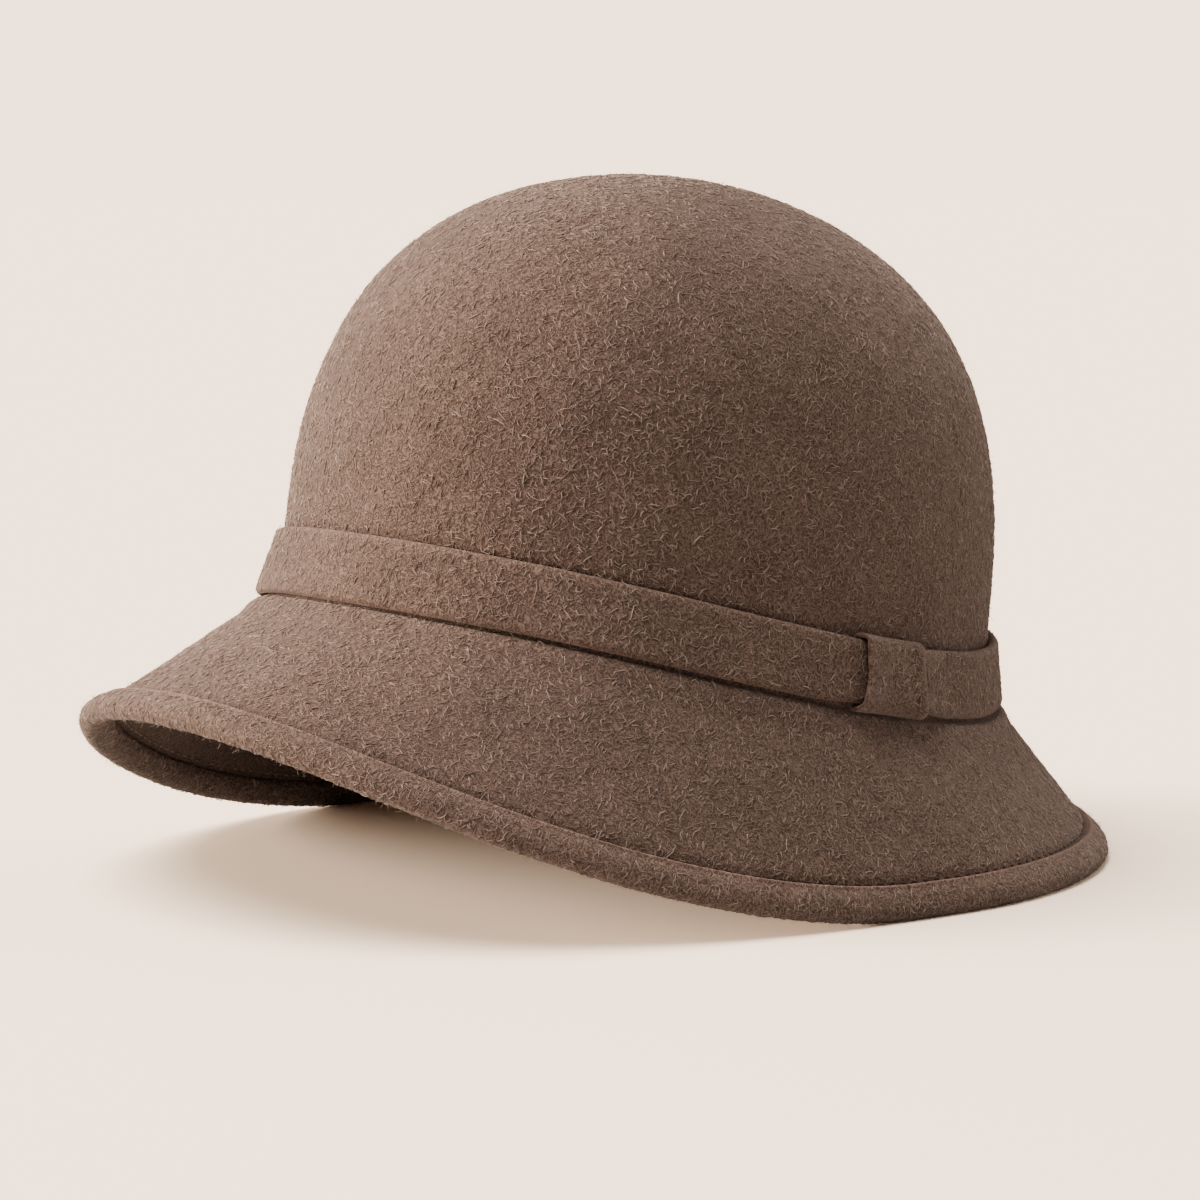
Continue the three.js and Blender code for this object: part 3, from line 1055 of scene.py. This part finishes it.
class HAT_OT_band(bpy.types.Operator):
    """Adds the folded felt band and the keeper round it"""

    bl_idname = "hat.band"
    bl_label = "Band and Keeper"

    def execute(self, context):
        cloth = material("folded wool felt", wool_felt, BAND_TONE)
        grid = band_grid()
        band = add_ring("felt_band", grid, cloth, "band")
        rows = np.arange(len(grid))
        # The band's top fold is paled: a painted highlight along its lit edge.
        mark(band, "painted_edge_highlight", BAND_PAINTED_HIGHLIGHT * hump(rows, BAND_TOP_FOLD, 2.5), BAND_AROUND)
        grid = keeper_grid()
        keeper = add_ring("felt_keeper", grid, cloth, "band_keeper")
        rows = np.arange(len(grid))
        # The keeper's rear fold and front edge are paled: painted highlights along their lit edges.
        ends = hump(rows, KEEPER_REAR_FOLD, 3.5) + KEEPER_FRONT_PAINTED_HIGHLIGHT * hump(rows, 0, 2.5)
        mark(keeper, "painted_edge_highlight", ends, grid.shape[1])
        return {"FINISHED"}


# Stitches: steps of the line they follow, places off the lip, and height in half threads
STITCH_LINE_STEPS = 4000
OUTER_STITCHES = 0.5 * MM
INNER_STITCHES = 1.4 * MM
STITCH_ARCH = (-0.5, 0.5, 0.8, 0.8, 0.5, -0.5)


class HAT_OT_stitches(bpy.types.Operator):
    """Adds the two rows of stitches that hold the binding"""

    bl_idname = "hat.stitches"
    bl_label = "Stitches"

    def execute(self, context):
        t, s = trim(), look()
        _, middle, down, out = brim_at(around(STITCH_LINE_STEPS))
        wall = shape().wall
        places = {
            "outer_stitches": (-t.binding_depth - OUTER_STITCHES, wall / 2 - t.seam_groove, 1, s.seam_thread),
            "inner_stitches": (-t.binding_depth - INNER_STITCHES, -wall / 2, -1, s.hem_thread),
        }
        for name, (depth, height, side, tint) in places.items():
            thread = material(name.replace("_", " ") + " thread", sewing_thread, tint)
            line = soften(middle + down * depth + out * height)
            pace = np.linalg.norm(np.roll(line, -1, 0) - line, axis=-1)
            way = np.concatenate([[0], np.cumsum(pace)])
            count = round(way[-1] / (t.stitch_length + t.stitch_gap))
            start = np.arange(count) * way[-1] / count
            steps = start[:, None] + np.linspace(0, t.stitch_length, len(STITCH_ARCH))
            closed = np.concatenate([line, line[:1]])
            facings = np.concatenate([out, out[:1]]) * side
            path = np.stack([np.interp(steps, way, closed[:, i]) for i in range(3)], -1)
            facing = unit(np.stack([np.interp(steps, way, facings[:, i]) for i in range(3)], -1))
            path = path + facing * (np.array(STITCH_ARCH) * t.thread)[:, None]
            points, faces = strands(path, facing, np.full((count, 1, 1), t.thread))
            add_piece(name, points, faces, thread)
        return {"FINISHED"}


class HAT_OT_nap(bpy.types.Operator):
    """Adds the curled nap and the loose hairs of the felt"""

    bl_idname = "hat.nap"
    bl_label = "Nap and Hairs"

    def execute(self, context):
        outer, band_top, brim_start = body_outer()
        binding, band, keeper = binding_grid(), band_grid(), keeper_grid()
        crown = Face(outer, np.arange(band_top + 1))
        brim = Face(outer, np.arange(brim_start - 1, len(outer) - EDGE_ROWS // 2))
        roll = Face(binding, np.arange(LIP_ROWS, BINDING_ARC))
        strip = Face(band, BAND_FACE, closed_rows=True)
        loop = Face(keeper, *KEEPER_FACE, closed_rows=True)
        wool = material("crimped wool curls", wool_strand)
        hair = material("loose wool hairs", wool_strand)
        add_curls("crown_curls", crown, 11, wool, parts=4)
        add_curls("brim_curls", brim, 21, wool, parts=2)
        add_curls("binding_curls", roll, 31, wool, 1.1, 0.7, follow=True)
        add_curls("band_curls", strip, 41, wool)
        add_curls("keeper_curls", loop, 42, wool)
        add_hairs("crown_hairs", crown, 51, hair)
        add_hairs("brim_hairs", brim, 52, hair)
        add_hairs("binding_hairs", roll, 53, hair, 2.6, 1.1, 0.25)
        add_hairs("band_hairs", strip, 54, hair, 1.0, 0.6)
        add_hairs("keeper_hairs", loop, 55, hair, 1.0, 0.6)
        return {"FINISHED"}


class HAT_PT_panel(bpy.types.Panel):
    """Lists the hat's pieces and sizes"""

    bl_label = "Cloche Hat"
    bl_idname = "HAT_PT_panel"
    bl_space_type = "VIEW_3D"
    bl_region_type = "UI"
    bl_category = "Hat"

    def draw(self, context):
        for operator in OPERATORS:
            self.layout.operator(operator.bl_idname)
        for group in (shape(), trim(), look()):
            box = self.layout.box()
            for name in group.__annotations__:
                box.prop(group, name)


GROUPS = {"hat_shape": HatShape, "hat_trim": TrimShape, "hat_look": HatLook}
OPERATORS = (HAT_OT_stage, HAT_OT_body, HAT_OT_binding, HAT_OT_band, HAT_OT_stitches, HAT_OT_nap)


def register():
    for name, group in GROUPS.items():
        bpy.utils.register_class(group)
        setattr(bpy.types.Scene, name, bpy.props.PointerProperty(type=group))
    for made in (*OPERATORS, HAT_PT_panel):
        bpy.utils.register_class(made)


def unregister():
    for made in (HAT_PT_panel, *reversed(OPERATORS)):
        bpy.utils.unregister_class(made)
    for name, group in reversed(GROUPS.items()):
        delattr(bpy.types.Scene, name)
        bpy.utils.unregister_class(group)


def main():
    register()
    bpy.ops.hat.stage()
    bpy.ops.hat.body()
    bpy.ops.hat.binding()
    bpy.ops.hat.band()
    bpy.ops.hat.stitches()
    bpy.ops.hat.nap()


if __name__ == "__main__":
    main()
